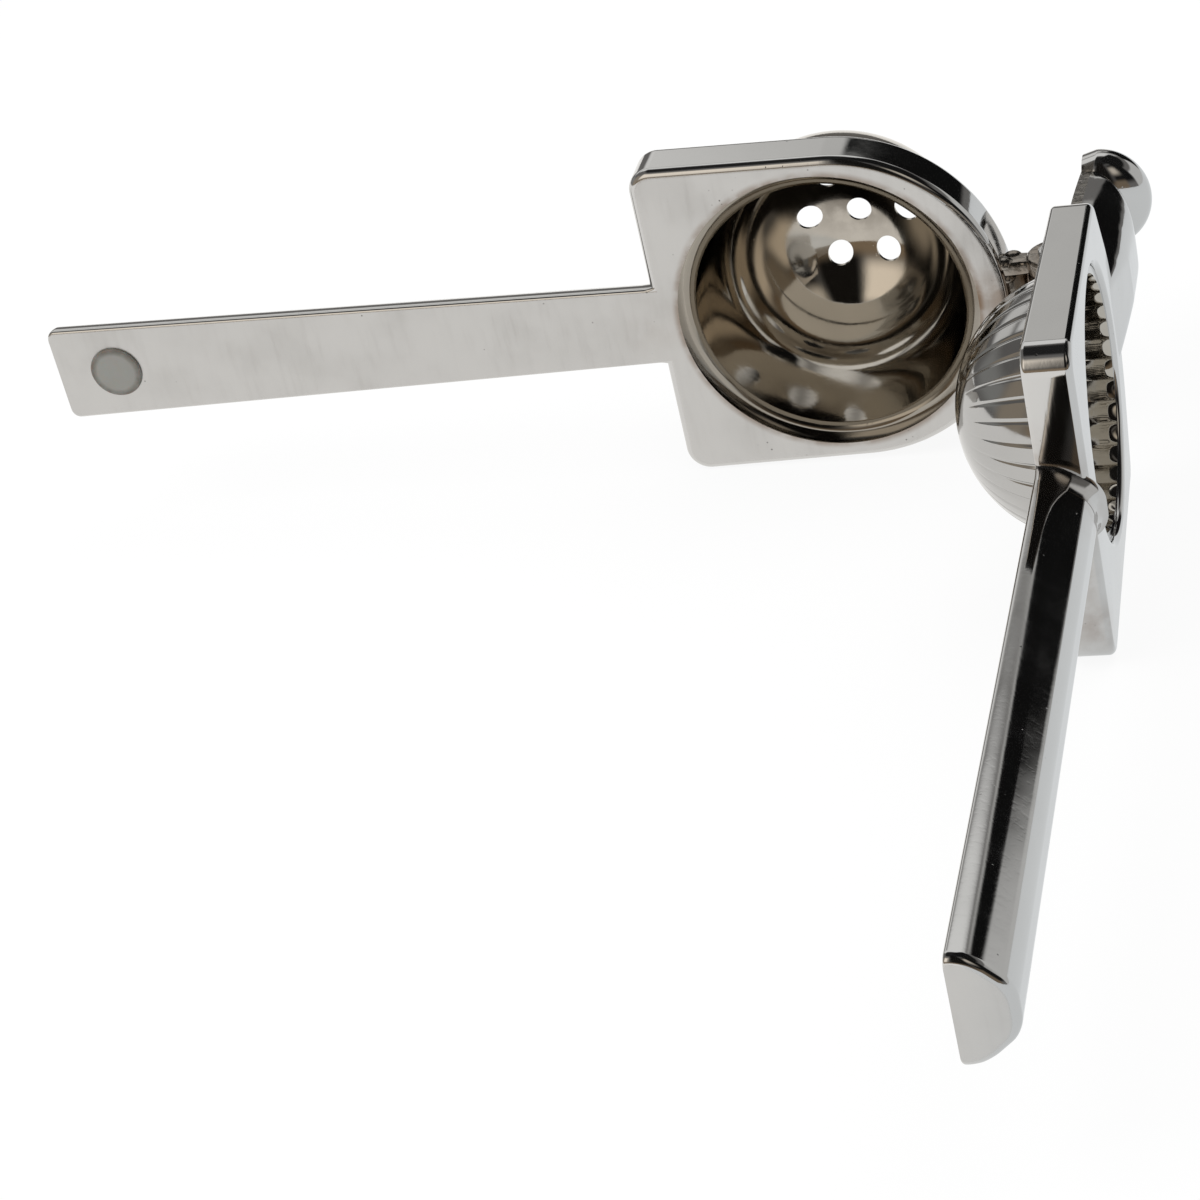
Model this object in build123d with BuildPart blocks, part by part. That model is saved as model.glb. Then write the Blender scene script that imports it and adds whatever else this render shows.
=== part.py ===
from build123d import *
import math
import os

os.makedirs("parts", exist_ok=True)

# Both arms, measured from the hinge pin
arm_reach = 220.4
frame_corner_radius = 5.0
frame_face_edge_radius = 1.2
frame_back_edge_radius = 1.8

# Half-round handle bar
handle_root_half_width = 8.7
handle_end_half_width = 10.9
handle_side_height = 2.6
handle_depth = 10.2
handle_back_flat_share = 0.40
handle_side_edge_radius = 2.5
handle_back_edge_radius = 4.0
handle_end_radius = 1.5

# Bowl: its rim sets the size of both frames
bowl_lip_outer_radius = 31.3
bowl_lip_radius = 3.3
bowl_wall_lean = 0.7
bowl_depth = 45.5
bowl_wall = 1.5
bowl_wall_draft = 2.5
bowl_from_pin = 16.2
bowl_bottom_radius = bowl_lip_outer_radius - bowl_lip_radius - bowl_wall_lean
bowl_reach = bowl_from_pin + bowl_lip_outer_radius
drain_hole_radius = 2.7
drain_ring_radius = 10.64
drain_ring_count = 6

# Cup frame: a margin of metal round the bowl's rim
cup_face_offset = 3.4
cup_frame_thickness = 11.7
cup_side_margin = 4.4
cup_round_margin = 3.7
cup_round_lead = 2.6
shoulder_margin = 5.0
cup_frame_half_width = bowl_lip_outer_radius + cup_side_margin
cup_round_radius = bowl_lip_outer_radius + cup_round_margin
cup_round_reach = bowl_reach - cup_round_lead
shoulder_reach = bowl_reach + bowl_lip_outer_radius + shoulder_margin

# Bumper
bumper_radius = 5.85
bumper_from_end = 13.6
bumper_depth = 4.0
bumper_proud = 0.7
bumper_edge_radius = 0.5

# Dome: it nests in the bowl with a narrow gap
squeeze_gap = 1.16
dome_lead = 0.2
dome_centre_depth = 6.4
dome_skirt = 0.9
dome_wall = 1.5
groove_count = 36
groove_depth = 0.55
groove_half_angle = 50
groove_top_angle = 30
groove_overrun = 0.1
dome_radius = bowl_bottom_radius - squeeze_gap
dome_reach = bowl_reach - dome_lead

# Plunger frame: a margin of metal round the dome
plunger_face_offset = 4.4
plunger_frame_thickness = 9.3
plunger_hinge_thickness = 7.9
plunger_shoulder_margin = 6.46
plunger_waist_margin = 5.46
plunger_round_margin = 10.26
plunger_side_corner_radius = 7.0
opening_edge_radius = 1.0
plunger_frame_half_width = dome_radius + plunger_shoulder_margin
plunger_waist_half_width = dome_radius + plunger_waist_margin
plunger_round_radius = dome_radius + plunger_round_margin

# Hinge
pin_radius = 2.2
pin_head_radius = 3.4
pin_head_height = 0.9
pin_head_edge_radius = 0.6
pin_running_clearance = 0.06
knuckle_radius = 6.0
tongue_half_height = 3.7
ear_gap = 0.3
ear_height = 4.0
ear_web_half_depth = 3.2
hood_clearance = 0.5
tongue_web_depth = 5.0

# Tail hook
tail_half_width = 12.0
tail_inner_offset = 2.5
tail_side_height = 1.7
tail_root_reach = 18.5
tail_root_height = 9.9
tail_crest_height = 12.0
tail_crest_reach = 12.5
tail_tip_reach = 34.0
tail_tip_height = 2.0
lobe_side_height = 3.0
lobe_height = 13.3
lobe_thickness = 9.4
lobe_rim_radius = 3.0

# One overrun serves every cut
overrun = 1.0

# Place of the hinge pin, with the origin in the middle of the bottom
mid_height = cup_frame_half_width
tail_reach = tail_tip_reach + lobe_thickness
pin = Vector(
    (arm_reach - tail_inner_offset - lobe_height) / 2,
    (arm_reach - tail_reach) / 2,
    mid_height,
)

# Each arm's plane lies in its flat face: x runs along the arm from the pin, z into the metal
cup_plane = Plane(pin + Vector(0, -cup_face_offset, 0), x_dir=(-1, 0, 0), z_dir=(0, 1, 0))
plunger_plane = Plane(pin + Vector(plunger_face_offset, 0, 0), x_dir=(0, -1, 0), z_dir=(1, 0, 0))
tail_plane = Plane(pin + Vector(tail_inner_offset, 0, 0), x_dir=(0, 1, 0), z_dir=(1, 0, 0))

ear_inner_height = tongue_half_height + ear_gap
ear_outer_height = ear_inner_height + ear_height
hood_cut_radius = knuckle_radius + hood_clearance


def across(arm_plane, reach):
    """Plane square to an arm at one reach: x is height, y is depth from the flat face."""
    origin = arm_plane.from_local_coords((reach, 0, 0))
    return Plane(origin, x_dir=arm_plane.y_dir, z_dir=arm_plane.x_dir)


def along(arm_plane, reach):
    """Plane through the middle of an arm: x runs along it, y is depth from the flat face."""
    origin = arm_plane.from_local_coords((reach, 0, 0))
    return Plane(origin, x_dir=arm_plane.x_dir, z_dir=-arm_plane.y_dir)


def facing(arm_plane, reach, depth):
    """Plane parallel to an arm's flat face, moved along the arm and into the metal."""
    origin = arm_plane.from_local_coords((reach, 0, depth))
    return Plane(origin, x_dir=arm_plane.x_dir, z_dir=arm_plane.z_dir)


def handle_section(arm_plane, reach, half_width):
    """Half-round section of a handle bar at one reach."""
    back_half_width = half_width * handle_back_flat_share
    with BuildSketch(across(arm_plane, reach)) as section:
        with BuildLine():
            Polyline(
                (-half_width, 0),
                (-half_width, handle_side_height),
                (-back_half_width, handle_depth),
                (back_half_width, handle_depth),
                (half_width, handle_side_height),
                (half_width, 0),
                close=True,
            )
        make_face()
        fillet(section.vertices().group_by(Axis.Y)[1], handle_side_edge_radius)
        fillet(section.vertices().group_by(Axis.Y)[-1], handle_back_edge_radius)
    return section.sketch


def half_round_section(arm_plane, reach, side_height, crown_height):
    """Section of the tail at one reach: flat base, low sides and a half-ellipse crown."""
    with BuildSketch(across(arm_plane, reach)) as section:
        with BuildLine():
            side = Line((tail_half_width, 0), (tail_half_width, side_height))
            crown = EllipticalCenterArc(
                (0, side_height),
                tail_half_width,
                crown_height - side_height,
                start_angle=0,
                arc_size=180,
            )
            Polyline(crown @ 1, (-tail_half_width, 0), side @ 0)
        make_face()
    return section.sketch


# Cup frame: plate with a round hinge end, bored for the bowl
with BuildPart() as cup_frame:
    with BuildSketch(cup_plane):
        with Locations((cup_round_reach, 0)):
            Circle(cup_round_radius)
        corner_height = cup_frame_half_width - frame_corner_radius
        with GridLocations(0, 2 * corner_height, 1, 2):
            with Locations((shoulder_reach - frame_corner_radius, 0)):
                Circle(frame_corner_radius)
        make_hull()
    extrude(amount=cup_frame_thickness)
    fillet(cup_frame.faces().sort_by(Axis.Y)[0].edges(), frame_face_edge_radius)
    fillet(cup_frame.faces().sort_by(Axis.Y)[-1].edges(), frame_back_edge_radius)
    with BuildSketch(facing(cup_plane, bowl_reach, 0)):
        Circle(bowl_lip_outer_radius)
    extrude(amount=cup_frame_thickness, mode=Mode.SUBTRACT)
    # Stub that the handle is welded to, flush with the flat face
    extrude(
        handle_section(cup_plane, shoulder_reach, handle_root_half_width),
        amount=-frame_back_edge_radius,
    )
cup_frame.part.label = "cup_frame"
export_step(cup_frame.part, "parts/cup_frame.step")

# Bowl: rolled lip, drafted wall, round bottom
draft = math.radians(bowl_wall_draft)
bottom_centre_depth = bowl_depth - bowl_bottom_radius
bowl_outer_radius = bowl_bottom_radius + bowl_wall
with BuildPart() as cup_bowl:
    with BuildSketch(along(cup_plane, bowl_reach)):
        with BuildLine():
            lip = CenterArc(
                (bowl_lip_outer_radius, bowl_lip_radius), bowl_lip_radius, 270, -90
            )
            inner_bottom = CenterArc(
                (0, bottom_centre_depth), bowl_bottom_radius, 90, bowl_wall_draft - 90
            )
            outer_bottom = CenterArc(
                (0, bottom_centre_depth), bowl_outer_radius, 90, bowl_wall_draft - 90
            )
            Line(lip @ 1, inner_bottom @ 1)
            collar_rise = (outer_bottom @ 1).Y - cup_frame_thickness
            collar_inner = (
                (outer_bottom @ 1).X + collar_rise * math.tan(draft),
                cup_frame_thickness,
            )
            Polyline(
                outer_bottom @ 1,
                collar_inner,
                (bowl_lip_outer_radius, cup_frame_thickness),
                lip @ 0,
            )
            Line(inner_bottom @ 0, outer_bottom @ 0)
        make_face()
    revolve(axis=Axis(along(cup_plane, bowl_reach).origin, cup_plane.z_dir))
    with BuildSketch(facing(cup_plane, bowl_reach, bowl_depth - drain_ring_radius)):
        Circle(drain_hole_radius)
        with PolarLocations(drain_ring_radius, drain_ring_count):
            Circle(drain_hole_radius)
    extrude(amount=drain_ring_radius + bowl_wall + overrun, mode=Mode.SUBTRACT)
cup_bowl.part.label = "cup_bowl"
export_step(cup_bowl.part, "parts/cup_bowl.step")

# Cup handle, with a pocket for the bumper
cup_handle_root = handle_section(cup_plane, shoulder_reach, handle_root_half_width)
cup_handle_end = handle_section(cup_plane, arm_reach, handle_end_half_width)
bumper_reach = arm_reach - bumper_from_end
with BuildPart() as cup_handle:
    loft(sections=[cup_handle_root, cup_handle_end], ruled=True)
    end_edges = cup_handle.faces().sort_by(Axis.X)[0].edges()
    fillet(end_edges.sort_by(Axis.Y)[1:], handle_end_radius)
    with BuildSketch(facing(cup_plane, bumper_reach, 0)):
        Circle(bumper_radius)
    extrude(amount=bumper_depth, mode=Mode.SUBTRACT)
cup_handle.part.label = "cup_handle"
export_step(cup_handle.part, "parts/cup_handle.step")

# Bumper: it stands a little proud of the handle's flat face
with BuildPart() as handle_bumper:
    with BuildSketch(facing(cup_plane, bumper_reach, -bumper_proud)):
        Circle(bumper_radius)
    extrude(amount=bumper_proud + bumper_depth)
    fillet(handle_bumper.faces().sort_by(Axis.Y)[0].edges(), bumper_edge_radius)
handle_bumper.part.label = "handle_bumper"
export_step(handle_bumper.part, "parts/handle_bumper.step")

# Hinge ears: knuckle round the pin and a web to the cup frame's round end
with BuildPart() as hinge_ear_upper:
    with BuildSketch(Plane(pin).offset(ear_inner_height)):
        Circle(knuckle_radius)
        with Locations((-cup_round_reach / 2, 0)):
            Rectangle(cup_round_reach, 2 * ear_web_half_depth)
        Circle(pin_radius, mode=Mode.SUBTRACT)
    extrude(amount=ear_height)
    add(cup_frame.part, mode=Mode.SUBTRACT)
    with BuildSketch(cup_plane):
        with Locations((cup_round_reach, 0)):
            Circle(cup_round_radius)
    extrude(amount=cup_frame_thickness, mode=Mode.SUBTRACT)
    add(cup_bowl.part, mode=Mode.SUBTRACT)
hinge_ear_upper.part.label = "hinge_ear_upper"
export_step(hinge_ear_upper.part, "parts/hinge_ear_upper.step")

with BuildPart() as hinge_ear_lower:
    mirror(hinge_ear_upper.part, about=Plane(pin))
hinge_ear_lower.part.label = "hinge_ear_lower"
export_step(hinge_ear_lower.part, "parts/hinge_ear_lower.step")

# Hinge pin: a low round head at each end holds it in the ears
with BuildPart() as hinge_pin:
    with BuildSketch(Plane(pin)):
        Circle(pin_radius)
    extrude(amount=ear_outer_height, both=True)
    for side in (1, -1):
        with BuildSketch(Plane(pin).offset(side * ear_outer_height)):
            Circle(pin_head_radius)
        extrude(amount=side * pin_head_height)
    fillet(hinge_pin.faces().sort_by(Axis.Z)[0].edges(), pin_head_edge_radius)
    fillet(hinge_pin.faces().sort_by(Axis.Z)[-1].edges(), pin_head_edge_radius)
hinge_pin.part.label = "hinge_pin"
export_step(hinge_pin.part, "parts/hinge_pin.step")

# Plunger frame: thinner towards the hinge, bored for the dome, open at the back
waist_taper = (plunger_frame_half_width - plunger_waist_half_width) / (shoulder_reach - bowl_reach)
pin_line_half_width = plunger_waist_half_width - waist_taper * bowl_reach
round_end_reach = bowl_reach - plunger_round_radius
thickness_taper = (plunger_frame_thickness - plunger_hinge_thickness) / (
    shoulder_reach - round_end_reach
)
pin_line_thickness = plunger_hinge_thickness - thickness_taper * round_end_reach
dome_seat = facing(plunger_plane, dome_reach, dome_centre_depth)
with BuildPart() as plunger_frame:
    with BuildSketch(plunger_plane) as plunger_outline:
        with Locations((bowl_reach, 0)):
            Circle(plunger_round_radius)
        with Locations(((bowl_reach + shoulder_reach) / 2, 0)):
            Rectangle(shoulder_reach - bowl_reach, 2 * plunger_round_radius)
        with BuildLine():
            Polyline(
                (0, pin_line_half_width),
                (shoulder_reach, plunger_frame_half_width),
                (shoulder_reach, -plunger_frame_half_width),
                (0, -pin_line_half_width),
                close=True,
            )
        make_face(mode=Mode.INTERSECT)
        fillet(plunger_outline.vertices().group_by(Axis.X)[-1], frame_corner_radius)
        fillet(plunger_outline.vertices().group_by(Axis.X)[0], plunger_side_corner_radius)
    extrude(amount=plunger_frame_thickness)
    with BuildSketch(along(plunger_plane, 0)):
        with BuildLine():
            Polyline(
                (0, 0),
                (shoulder_reach, 0),
                (shoulder_reach, plunger_frame_thickness),
                (0, pin_line_thickness),
                close=True,
            )
        make_face()
    extrude(amount=plunger_round_radius, both=True, mode=Mode.INTERSECT)
    fillet(plunger_frame.faces().sort_by(Axis.X)[-1].edges(), frame_back_edge_radius)
    with BuildSketch(dome_seat):
        Circle(dome_radius)
    extrude(amount=plunger_frame_thickness, mode=Mode.SUBTRACT)
    with Locations(dome_seat.location):
        Sphere(dome_radius, mode=Mode.SUBTRACT)
    opening_rim = plunger_frame.edges().filter_by(GeomType.ELLIPSE)
    fillet(opening_rim, opening_edge_radius)
    extrude(
        handle_section(plunger_plane, shoulder_reach, handle_root_half_width),
        amount=-frame_back_edge_radius,
    )
plunger_frame.part.label = "plunger_frame"
export_step(plunger_frame.part, "parts/plunger_frame.step")

# Groove cutter: a wedge swept down one meridian, deeper towards the rim
groove_bottom_angle = math.degrees(math.acos(dome_centre_depth / dome_radius))
groove_arc = groove_bottom_angle - groove_top_angle
groove_shift = groove_depth / math.sin(math.radians(groove_arc))
groove_top = math.radians(groove_top_angle)
groove_ring = Vector(-groove_shift * math.cos(groove_top), 0, groove_shift * math.sin(groove_top))
groove_out = dome_radius + groove_depth + groove_overrun
groove_half_width = (groove_out - dome_radius) * math.tan(math.radians(groove_half_angle))
groove_start = Vector(math.sin(groove_top), 0, math.cos(groove_top))
with BuildPart() as groove_cutter:
    wedge_plane = Plane(groove_ring, x_dir=groove_start, z_dir=groove_start.cross(Vector(0, 1, 0)))
    with BuildSketch(wedge_plane):
        with BuildLine():
            Polyline(
                (dome_radius, 0),
                (groove_out, groove_half_width),
                (groove_out, -groove_half_width),
                close=True,
            )
        make_face()
    revolve(axis=Axis(groove_ring, (0, 1, 0)), revolution_arc=groove_arc)

# Dome: hollow shell with meridian grooves that fade out towards the crown
dome_plane = Plane(dome_seat.origin, x_dir=dome_seat.x_dir, z_dir=-dome_seat.z_dir)
dome_inner_radius = dome_radius - dome_wall
with BuildPart() as plunger_dome:
    with BuildSketch(Plane(dome_plane.origin, x_dir=dome_plane.x_dir, z_dir=-dome_plane.y_dir)):
        with BuildLine():
            outer_arc = CenterArc((0, 0), dome_radius, 0, 90)
            inner_arc = CenterArc((0, 0), dome_inner_radius, 0, 90)
            Line(outer_arc @ 1, inner_arc @ 1)
            Polyline(
                outer_arc @ 0, (dome_radius, -dome_skirt), (dome_inner_radius, -dome_skirt), inner_arc @ 0
            )
        make_face()
    revolve(axis=Axis(dome_plane.origin, dome_plane.z_dir))
    with Locations(dome_plane.location):
        with PolarLocations(0, groove_count):
            add(groove_cutter.part, mode=Mode.SUBTRACT)
plunger_dome.part.label = "plunger_dome"
export_step(plunger_dome.part, "parts/plunger_dome.step")

# Plunger handle
plunger_handle_root = handle_section(plunger_plane, shoulder_reach, handle_root_half_width)
plunger_handle_end = handle_section(plunger_plane, arm_reach, handle_end_half_width)
with BuildPart() as plunger_handle:
    loft(sections=[plunger_handle_root, plunger_handle_end], ruled=True)
    end_edges = plunger_handle.faces().sort_by(Axis.Y)[0].edges()
    fillet(end_edges.sort_by(Axis.X)[1:], handle_end_radius)
plunger_handle.part.label = "plunger_handle"
export_step(plunger_handle.part, "parts/plunger_handle.step")

# Hinge tongue: middle knuckle with a web to the plunger frame
with BuildPart() as hinge_tongue:
    with BuildSketch(Plane(pin)):
        Circle(knuckle_radius)
        with Locations((plunger_face_offset, 0)):
            Rectangle(
                tongue_web_depth, bowl_reach / 2, align=(Align.MIN, Align.MAX)
            )
        Circle(pin_radius + pin_running_clearance, mode=Mode.SUBTRACT)
    extrude(amount=tongue_half_height, both=True)
    add(plunger_frame.part, mode=Mode.SUBTRACT)
    with BuildSketch(plunger_plane):
        with Locations((bowl_reach, 0)):
            Circle(plunger_round_radius)
    extrude(amount=plunger_frame_thickness, mode=Mode.SUBTRACT)
hinge_tongue.part.label = "hinge_tongue"
export_step(hinge_tongue.part, "parts/hinge_tongue.step")

# Tail hook: bar that rises over the hinge, ramps down to a notch and ends in a lobe
tail_bar_section = half_round_section(
    tail_plane, -tail_root_reach, tail_side_height, tail_crest_height
)
lobe_section = half_round_section(tail_plane, tail_tip_reach, lobe_side_height, lobe_height)
with BuildPart() as tail_hook:
    extrude(tail_bar_section, amount=tail_root_reach + tail_tip_reach)
    with BuildSketch(along(tail_plane, 0)):
        with BuildLine():
            ramp = EllipticalCenterArc(
                (tail_crest_reach, tail_tip_height),
                tail_tip_reach - tail_crest_reach,
                tail_crest_height - tail_tip_height,
                start_angle=0,
                arc_size=90,
            )
            Polyline(
                ramp @ 1,
                (0, tail_crest_height),
                (-tail_root_reach, tail_root_height),
                (-tail_root_reach, 0),
                (tail_tip_reach, 0),
                ramp @ 0,
            )
        make_face()
    extrude(amount=tail_half_width, both=True, mode=Mode.INTERSECT)
    extrude(lobe_section, amount=lobe_thickness)
    lobe_back = tail_hook.faces().sort_by(Axis.Y)[-1]
    fillet(lobe_back.edges().sort_by(Axis.X)[1:], lobe_rim_radius)
    # Room for the ears round the pin, and for the cup frame under the hood
    with BuildSketch(Plane(pin)):
        Circle(hood_cut_radius)
        Rectangle(plunger_face_offset, bowl_reach, align=(Align.MIN, Align.MAX))
    extrude(amount=tail_half_width + overrun, both=True, mode=Mode.SUBTRACT)
    add(plunger_frame.part, mode=Mode.SUBTRACT)
    add(hinge_tongue.part, mode=Mode.SUBTRACT)
tail_hook.part.label = "tail_hook"
export_step(tail_hook.part, "parts/tail_hook.step")
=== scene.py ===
"""A lime squeezer of two hinged steel arms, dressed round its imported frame."""

import logging
from dataclasses import dataclass, field
from enum import Enum
from functools import cache
from math import asin, atan2, cos, degrees, pi, radians, sin, sqrt, tan, tau
from typing import Callable, ClassVar, Iterable, Optional, Sequence

import bmesh
import bpy
from bpy.types import Material, Mesh, Node, NodeSocket, NodeTree, Object
from mathutils import Matrix, Vector


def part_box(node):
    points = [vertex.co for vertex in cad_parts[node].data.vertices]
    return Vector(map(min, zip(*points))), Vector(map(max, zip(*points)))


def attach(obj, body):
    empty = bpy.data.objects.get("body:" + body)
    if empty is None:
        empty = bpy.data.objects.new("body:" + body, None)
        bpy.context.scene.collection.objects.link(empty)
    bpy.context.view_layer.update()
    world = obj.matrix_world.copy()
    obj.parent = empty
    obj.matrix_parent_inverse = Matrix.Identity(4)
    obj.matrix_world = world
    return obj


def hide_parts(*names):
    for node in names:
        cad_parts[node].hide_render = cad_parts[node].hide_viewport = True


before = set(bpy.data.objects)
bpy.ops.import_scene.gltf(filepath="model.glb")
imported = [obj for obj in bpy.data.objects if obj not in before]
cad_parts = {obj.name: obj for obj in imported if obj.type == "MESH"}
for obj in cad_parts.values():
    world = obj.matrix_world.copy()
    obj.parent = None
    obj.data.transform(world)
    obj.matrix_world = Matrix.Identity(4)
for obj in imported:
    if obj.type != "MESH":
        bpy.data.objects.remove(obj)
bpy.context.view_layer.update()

BMesh, BMVert = bmesh.types.BMesh, bmesh.types.BMVert
BMEdge, BMFace, ops = bmesh.types.BMEdge, bmesh.types.BMFace, bmesh.ops
Triple = tuple[float, float, float]
Point = Sequence[float]

LOG = logging.getLogger("lime_squeezer")
MM = 0.001
PIN = (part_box("hinge_pin")[0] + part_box("hinge_pin")[1]) / 2
SAME_PLACE = 0.004
FLAT = 0.98
FOLD = radians(20)
QUARTER = pi / 2
WHITE = (1.0, 1.0, 1.0)


class Datum(Enum):
    """A flat face that a piece is measured from: its run, its inward side and its distance from the pin."""

    CUP = ((-1, 0, 0), (0, 1, 0), -3.4)
    PLUNGER = ((0, -1, 0), (1, 0, 0), 4.4)
    TAIL = ((0, 1, 0), (1, 0, 0), 2.5)
    PIN = ((1, 0, 0), (0, 0, 1), 0)

    def matrix(self) -> Matrix:
        """Work out the way from the piece's own measures to the row frame.

        Returns:
            The transform, from millimetres along, across and into the metal.
        """
        run, into, offset = Vector(self.value[0]), Vector(self.value[1]), self.value[2]
        turn = Matrix((run, into.cross(run), into)).transposed().to_4x4()
        return Matrix.Translation(PIN + into * offset * MM) @ turn @ Matrix.Scale(MM, 4)


class Body(Enum):
    """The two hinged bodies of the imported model."""

    CUP_ARM = "cup_arm"
    PLUNGER_ARM = "plunger_arm"


class Slot(Enum):
    """Material slots that a piece can name."""

    POLISHED = "steel_polished"
    SATIN = "steel_satin"
    SILICONE = "silicone"


class Graph:
    """A short hand for building a node tree."""

    def __init__(self, tree: NodeTree) -> None:
        """Empty the tree and keep it."""
        self.tree = tree
        tree.nodes.clear()

    def add(self, kind: str, inputs: Optional[dict[object, object]] = None, **settings: object) -> Node:
        """Add a node.

        Args:
            kind: The node's type name, without the ShaderNode prefix.
            inputs: What to feed to its inputs, by their names or places.
            **settings: Properties of the node.

        Returns:
            The new node.
        """
        node = self.tree.nodes.new("ShaderNode" + kind)
        for key, value in settings.items():
            setattr(node, key, value)
        for key, value in (inputs or {}).items():
            if isinstance(value, NodeSocket):
                self.tree.links.new(value, node.inputs[key])
            else:
                socket = node.inputs[key]
                socket.default_value = (*value, 1.0) if socket.type == "RGBA" else value
        return node

    def math(self, operation: str, *values: object, clamp: bool = False) -> NodeSocket:
        """Return the output of a Math node on the given values."""
        inputs = dict(enumerate(values))
        return self.add("Math", inputs, operation=operation, use_clamp=clamp).outputs[0]

    def ramp(
        self, value: object, low: float, high: float, start: float = 0.0, end: float = 1.0
    ) -> NodeSocket:
        """Return value eased smoothly from start at low to end at high."""
        inputs = dict(enumerate((value, low, high, start, end)))
        return self.add("MapRange", inputs, interpolation_type="SMOOTHSTEP").outputs[0]

    def blend(self, share: object, first: object, second: object) -> NodeSocket:
        """Return a colour mixed from first to second by share."""
        return self.add("Mix", {0: share, 6: first, 7: second}, data_type="RGBA").outputs[2]

    def mix(self, share: object, first: Node, second: Node) -> Node:
        """Return a node that mixes two shaders by share."""
        return self.add("MixShader", {0: share, 1: first.outputs[0], 2: second.outputs[0]})

    def noise(self, place: object, scale: float, detail: float, stretch: Triple = (1, 1, 1)) -> NodeSocket:
        """Return a noise value, by features per metre, octaves and a stretch of each axis."""
        mapped = self.add("Mapping", {0: place, 3: stretch}).outputs[0]
        return self.add("TexNoise", {"Vector": mapped, "Scale": scale, "Detail": detail}).outputs[0]

    def near(self, place: object, point: Vector, reach: float) -> NodeSocket:
        """Return 1 at a point, easing to 0 at a reach in metres."""
        away = self.add("VectorMath", {0: place, 1: tuple(point)}, operation="DISTANCE")
        return self.ramp(away.outputs["Value"], 0.0, reach, 1.0, 0.0)

    def output(self, kind: str, shader: Node) -> None:
        """Send a shader to the output of a Material or World tree."""
        self.add("Output" + kind, {"Surface": shader.outputs[0]})


def new_material(name: str) -> tuple[Material, Graph]:
    """Start a node material.

    Args:
        name: Its name.

    Returns:
        The empty material and the graph that fills it.
    """
    material = bpy.data.materials.new(name)
    material.use_nodes = True
    return material, Graph(material.node_tree)


def store(bm: BMesh, name: str) -> Mesh:
    """Store a mesh and free it.

    Args:
        bm: The mesh.
        name: The stored copy's name.

    Returns:
        The stored copy.
    """
    data = bpy.data.meshes.new(name)
    bm.to_mesh(data)
    bm.free()
    return data


def place_object(name: str, data: bpy.types.ID) -> Object:
    """Put a new object in the scene.

    Args:
        name: Its name.
        data: What it shows.

    Returns:
        The object.
    """
    obj = bpy.data.objects.new(name, data)
    bpy.context.scene.collection.objects.link(obj)
    return obj


@dataclass(frozen=True)
class Stain:
    """A brown patch round a point, or round a circle in a plane, in millimetres from the pin."""

    place: Triple
    reach: float
    depth: float
    radius: float = 0.0
    plane: Triple = (1, 1, 1)


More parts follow.
